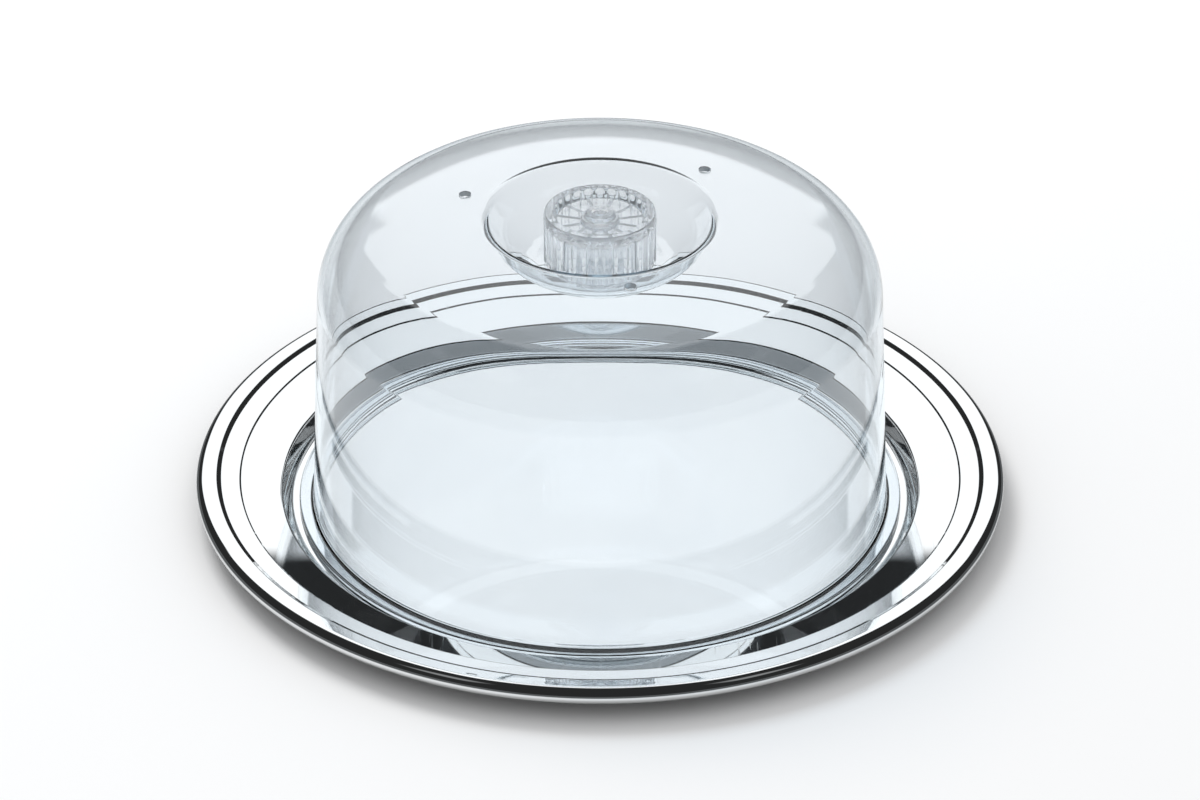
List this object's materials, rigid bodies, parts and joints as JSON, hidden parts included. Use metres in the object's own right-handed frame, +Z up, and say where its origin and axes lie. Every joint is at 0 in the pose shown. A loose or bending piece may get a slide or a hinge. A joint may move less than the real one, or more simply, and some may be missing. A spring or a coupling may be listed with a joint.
{
  "type": "cheese dome",
  "caption": "Round polished steel serving tray with a sunken well and rolled rim, covered by a clear moulded dome with vent holes and a fluted screw-on knob in a dished top.",
  "frame": {"origin": "centre of the tray's flat underside", "axes": "+Z up along the dome's axis; X and Y lie in the plane the tray rests on, +X and +Y alike because the tray is round"},
  "size_m": [0.29, 0.29, 0.1175],
  "materials": {
    "polished_steel": "polished",
    "clear_dome": "polished",
    "clear_knob": "polished",
    "clear_seal": "satin"
  },
  "bodies": {
    "tray": {"tray": "polished_steel"},
    "cover": {"dome_shell": "clear_dome"},
    "knob": {"knob": "clear_knob", "knob_bolt": "clear_knob"},
    "nut": {"cap_nut": "clear_knob", "nut_washer": "clear_seal"}
  },
  "joints": [
    {"name": "dome_lift", "type": "slide", "parent": "tray", "child": "cover", "axis": [0, 0, 1], "range_m": [0, 0.16]},
    {"name": "knob_turn", "type": "hinge", "parent": "cover", "child": "knob", "pos_m": [0, 0, 0.1], "axis": [0, 0, 1], "range_deg": [0, 1440]},
    {"name": "nut_travel", "type": "slide", "parent": "cover", "child": "nut", "axis": [0, 0, -1], "range_m": [0, 0.0081]}
  ],
  "couplings": [
    {"joint": "nut_travel", "follows": "knob_turn", "m_per_rad": 0.00031831}
  ]
}
